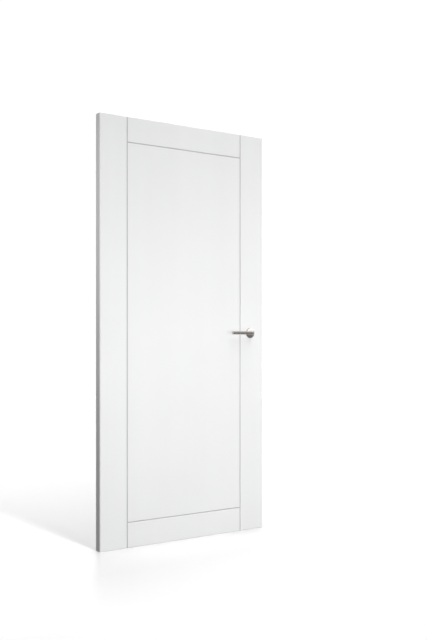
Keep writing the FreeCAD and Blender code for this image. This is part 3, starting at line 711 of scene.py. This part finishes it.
def press_rose(side):
    """A pressed round cover: straight rim, low dome and a hole with a turned edge for the neck."""
    sizes = bpy.context.scene.door_sizes
    outer = (ROSE_HIGH.x - ROSE_LOW.x) / 2
    height = ROSE_HIGH.y - ROSE_LOW.y
    hole = sizes.bar_diameter / 2 + NECK_CLEARANCE
    centre = ((height ** 2 - sizes.rose_rim ** 2 + hole ** 2 - outer ** 2) / (height - sizes.rose_rim)) / 2
    dome = math.hypot(outer, sizes.rose_rim - centre)
    start, end = math.asin(outer / dome), math.asin(hole / dome)
    line = [(outer, 0)]
    for step in range(DOME_STEPS + 1):
        angle = start + (end - start) * step / DOME_STEPS
        line.append((dome * math.sin(angle), centre + dome * math.cos(angle)))
    line.append((hole, height - COLLAR_DEPTH))
    bm = bmesh.new()
    verts = [bm.verts.new((reach, 0, rise)) for reach, rise in line]
    for pair in zip(verts, verts[1:]):
        bm.edges.new(pair)
    bmesh.ops.bevel(bm, geom=[verts[1], verts[-2]], offset=ROSE_SOFTENING, segments=3, profile=0.5,
                    affect="VERTICES", material=-1)
    bmesh.ops.spin(bm, geom=bm.verts[:] + bm.edges[:], cent=(0, 0, 0), axis=(0, 0, 1), angle=math.tau,
                   steps=ROSE_SEGMENTS, use_merge=True, use_duplicate=False)
    tidy_mesh(bm)
    top = max(bm.faces, key=lambda face: face.calc_center_median().z)
    if top.normal.z < 0:
        bmesh.ops.reverse_faces(bm, faces=bm.faces)
    bmesh.ops.solidify(bm, geom=bm.faces[:], thickness=sizes.rose_wall)
    seat(bm, -FACE, side)
    return bm


# Operators


class DOOR_OT_effects(bpy.types.Operator):
    """Builds the shared shader effects"""

    bl_idname = "flush_door.effects"
    bl_label = "Shared effects"

    def execute(self, context):
        make_paint_film()
        make_timber_grain()
        make_metal_grain()
        return {"FINISHED"}


class DOOR_OT_leaf(bpy.types.Operator):
    """Paints the skins and the lippings"""

    bl_idname = "flush_door.leaf"
    bl_label = "Painted leaf"

    def execute(self, context):
        dress(painted_board(), "front_skin", "back_skin")
        dress(painted_timber(), "hinge_lipping", "lock_lipping")
        return {"FINISHED"}


class DOOR_OT_inside(bpy.types.Operator):
    """Finishes the bare timber frame, the lock block and the paper core"""

    bl_idname = "flush_door.inside"
    bl_label = "Frame and core"

    def execute(self, context):
        dress(bare_timber("bare timber upright"), "hinge_stile", "lock_stile", "lock_block")
        dress(bare_timber("bare timber across", across=True), "top_rail", "bottom_rail")
        dress(kraft_paper(), "honeycomb_core")
        return {"FINISHED"}


class DOOR_OT_handle(bpy.types.Operator):
    """Bends both levers and presses both roses"""

    bl_idname = "flush_door.handle"
    bl_label = "Levers and roses"

    def execute(self, context):
        colours = context.scene.door_colours
        straight = metal("satin nickel bar", colours.nickel, roughness=0.26, line=0.0002, depth=0.000004)
        turned = metal("satin nickel rose", colours.nickel, roughness=0.24, line=0.0002, depth=0.000004, turned=True)
        for name, side in SIDES.items():
            finish_piece(bend_lever(side), name + "_lever_bar", straight, "handle", "satin_nickel", name + "_lever")
            finish_piece(press_rose(side), name + "_rose_cover", turned, "leaf", "satin_nickel", name + "_rose")
        return {"FINISHED"}


class DOOR_OT_latch(bpy.types.Operator):
    """Finishes the latch and the small fixings"""

    bl_idname = "flush_door.latch"
    bl_label = "Latch and fixings"

    def execute(self, context):
        colours = context.scene.door_colours
        plate = metal("satin nickel plate", colours.nickel, roughness=0.28, line=0.0003, depth=0.000004)
        dress(plate, "latch_forend")
        plated = metal("zinc plated steel", colours.zinc_plate, roughness=0.3, line=0.0006, depth=0.00001)
        dress(plated, "latch_bolt", "latch_case", "spindle", "front_grub_screw", "back_grub_screw", "upper_rose_bolt",
              "lower_rose_bolt")
        for node in ("upper_forend_screw", "lower_forend_screw"):
            finish_piece(turn_screw(*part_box(node)), node.replace("forend", "cross"), plated, "leaf", "plated_steel",
                         node)
        dress(cast_metal("cast zinc", colours.cast_zinc), "front_rose_base", "back_rose_base", "latch_follower")
        return {"FINISHED"}


class DOOR_OT_stage(bpy.types.Operator):
    """Lays the floor, hangs the lights and sets up the camera"""

    bl_idname = "flush_door.stage"
    bl_label = "Studio"

    def execute(self, context):
        studio = context.scene.door_studio
        lay_floor(studio)
        light_world(studio)
        hang_lights(studio)
        set_camera()
        context.scene.view_settings.view_transform = "Standard"
        return {"FINISHED"}


# Studio


def lay_floor(studio):
    """A pale floor that fades into the white behind it.

    It is paler to the camera than to the door, whose edges would glow otherwise, and mirrors only near the door.
    """
    bm = bmesh.new()
    bmesh.ops.create_grid(bm, x_segments=8, y_segments=8, size=FLOOR_END)
    mesh = bpy.data.meshes.new("floor")
    bm.to_mesh(mesh)
    bm.free()
    floor = add_to_scene(bpy.data.objects.new("floor", mesh))
    material, tree, shader, place = new_finish("pale floor")
    x, y = split(tree, place)[:2]
    near = ramped(tree, y, -FACE - NEAR_FLOOR_START, -FACE - NEAR_FLOOR_END)
    feed(tree, shader["Specular IOR Level"], ramped(tree, near, 0, 1, 0.5, 0.0))
    feed(tree, shader["Roughness"], varied(tree, cloud(tree, place, scale=6.0), 0.36, 0.40))
    tone = blended(tree, near, opaque(studio.floor), opaque(studio.floor_near))
    uneven = ramped(tree, cloud(tree, place, scale=0.8, detail=3.0), 0, 1, 0.0, 0.01)
    seen = blended(tree, uneven, tone, (0, 0, 0, 1))
    by_camera = put(tree, "ShaderNodeLightPath").outputs["Is Camera Ray"]
    feed(tree, shader["Base Color"], blended(tree, by_camera, opaque([studio.bounce] * 3), seen))
    surface = next(node for node in tree.nodes if node.type == "OUTPUT_MATERIAL").inputs["Surface"]
    faded = ramped(tree, how_far(tree, x, y), FLOOR_END / 2, FLOOR_END)
    feed(tree, surface, mixed(tree, faded, surface.links[0].from_socket,
                              put(tree, "ShaderNodeBsdfTransparent").outputs[0]))
    mesh.materials.append(material)
    floor.visible_glossy = False


def glow(tree, strength):
    node = put(tree, "ShaderNodeBackground")
    node.inputs["Color"].default_value = (1, 1, 1, 1)
    feed(tree, node.inputs["Strength"], strength)
    return node.outputs[0]


def light_world(studio):
    """White behind the door for the camera, a dim even room, and a darker room in front for the metal to mirror."""
    world = bpy.data.worlds.new("studio")
    world.use_nodes = True
    tree = world.node_tree
    tree.nodes.clear()
    y, z = split(tree, put(tree, "ShaderNodeTexCoord").outputs["Generated"])[1:]
    mirrored = calculate(tree, "MULTIPLY", ramped(tree, y, -0.6, 0.6, studio.mirrored_front, studio.mirrored_back),
                         ramped(tree, z, -0.7, 0.4, studio.mirrored_low, 1.0))
    ray = put(tree, "ShaderNodeLightPath").outputs
    room = mixed(tree, ray["Is Glossy Ray"], glow(tree, studio.room), glow(tree, mirrored))
    shown = mixed(tree, ray["Is Camera Ray"], room, glow(tree, BACKDROP))
    feed(tree, put(tree, "ShaderNodeOutputWorld").inputs["Surface"], shown)
    bpy.context.scene.world = world


def towards(side, height):
    """Direction from the door to a light at this angle right of its front and this angle up."""
    return Vector((math.sin(side) * math.cos(height), -math.cos(side) * math.cos(height), math.sin(height)))


def hang_light(lamp, place, direction, only=None):
    """Puts a lamp at this place, shining back along this direction, on everything or only on some pieces."""
    box = add_to_scene(bpy.data.objects.new(lamp.name, lamp))
    box.location = place
    box.rotation_euler = direction.to_track_quat("Z", "Y").to_euler()
    box.visible_camera = False
    box.visible_glossy = False
    if only:
        box.light_linking.receiver_collection = only
    return box


def hang_softbox(name, level, target, side, height, distance, size, only=None):
    """An area light that gives a surface square to it this level of light. A white surface then shows that level."""
    lamp = bpy.data.lights.new(name, "AREA")
    lamp.shape = "RECTANGLE"
    lamp.size, lamp.size_y = size
    lamp.energy = level * (math.pi * distance) ** 2
    direction = towards(side, height)
    return hang_light(lamp, Vector(target) + direction * distance, direction, only)


def hang_lights(studio):
    """Two lights for the whole scene, and softboxes that light only the door or its roses."""
    door = bpy.data.collections.new("lit door")
    leaf = bpy.data.collections.new("shading leaf")
    for item in bpy.context.scene.objects:
        if item.type == "MESH" and item.name != "floor":
            door.objects.link(item)
            if not item.name.endswith("_lever_bar"):
                leaf.objects.link(item)
    roses = bpy.data.collections.new("lit roses")
    for name in SIDES:
        roses.objects.link(bpy.data.objects[name + "_rose_cover"])
    middle = LEAF_HIGH.x / 2
    lamp = bpy.data.lights.new("overhead light", "SUN")
    lamp.energy = studio.overhead * math.pi
    lamp.angle = math.radians(6)
    hang_light(lamp, place=(middle, 0, 6), direction=Vector((0, 0, 1)))
    hang_softbox("strip light", studio.strip, target=(0, 0, 0), side=math.radians(4), height=math.radians(63),
                 distance=30, size=(1.8, 25))
    face = hang_softbox("face light", studio.face, target=(middle, -FACE, 0.86), side=studio.face_side, height=0,
                        distance=3.0, size=(3.4, 1.6), only=door)
    face.light_linking.blocker_collection = leaf
    for name, edge, side in (("hinge edge light", 0, -90), ("lock edge light", LEAF_HIGH.x, 90)):
        hang_softbox(name, studio.edge, target=(edge, 0, 1.6), side=math.radians(side), height=0, distance=1.2,
                     size=(0.6, 0.6), only=door)
    hang_softbox("back light", studio.back, target=(middle, FACE, 1.08), side=math.radians(158),
                 height=math.radians(20), distance=4, size=(2, 2), only=door)
    card = hang_softbox("card", studio.card, target=(AXIS_X, -FACE, AXIS_Z), side=math.radians(38),
                        height=math.radians(26), distance=4, size=(6.0, 2.6), only=roses)
    card.visible_glossy = True
    card.visible_diffuse = False


def set_camera():
    """Puts the camera so that the door's four corners stand where they do in the photo."""
    lens = bpy.data.cameras.new("photo angle")
    lens.sensor_width = 36.0
    lens.lens = 47.59
    lens.shift_y = 0.0298
    lens.clip_end = 200.0
    camera = add_to_scene(bpy.data.objects.new("photo angle", lens))
    camera.location = (-1.708, -3.538, 0.986)
    camera.rotation_euler = (math.radians(89.87), 0, math.radians(-33.57))
    bpy.context.scene.camera = camera


class DOOR_PT_pieces(bpy.types.Panel):
    """Lists the pieces and their settings"""

    bl_idname = "DOOR_PT_pieces"
    bl_label = "Flush hollow core door"
    bl_space_type = "VIEW_3D"
    bl_region_type = "UI"
    bl_category = "Door"

    def draw(self, context):
        column = self.layout.column()
        for operator in OPERATORS:
            column.operator(operator.bl_idname)
        for settings in (context.scene.door_sizes, context.scene.door_colours, context.scene.door_studio):
            for name in settings.bl_rna.properties.keys():
                if name not in ("rna_type", "name"):
                    column.prop(settings, name)


OPERATORS = (DOOR_OT_effects, DOOR_OT_leaf, DOOR_OT_inside, DOOR_OT_handle, DOOR_OT_latch, DOOR_OT_stage)
SETTINGS = {"door_sizes": DoorSizes, "door_colours": DoorColours, "door_studio": StudioSettings}


def register():
    for item in (*SETTINGS.values(), *OPERATORS, DOOR_PT_pieces):
        bpy.utils.register_class(item)
    for name, group in SETTINGS.items():
        setattr(bpy.types.Scene, name, bpy.props.PointerProperty(type=group))


def unregister():
    for name in SETTINGS:
        delattr(bpy.types.Scene, name)
    for item in (DOOR_PT_pieces, *reversed(OPERATORS), *SETTINGS.values()):
        bpy.utils.unregister_class(item)


def main():
    register()
    bpy.ops.flush_door.effects()
    bpy.ops.flush_door.leaf()
    bpy.ops.flush_door.inside()
    bpy.ops.flush_door.handle()
    bpy.ops.flush_door.latch()
    bpy.ops.flush_door.stage()


if __name__ == "__main__":
    main()
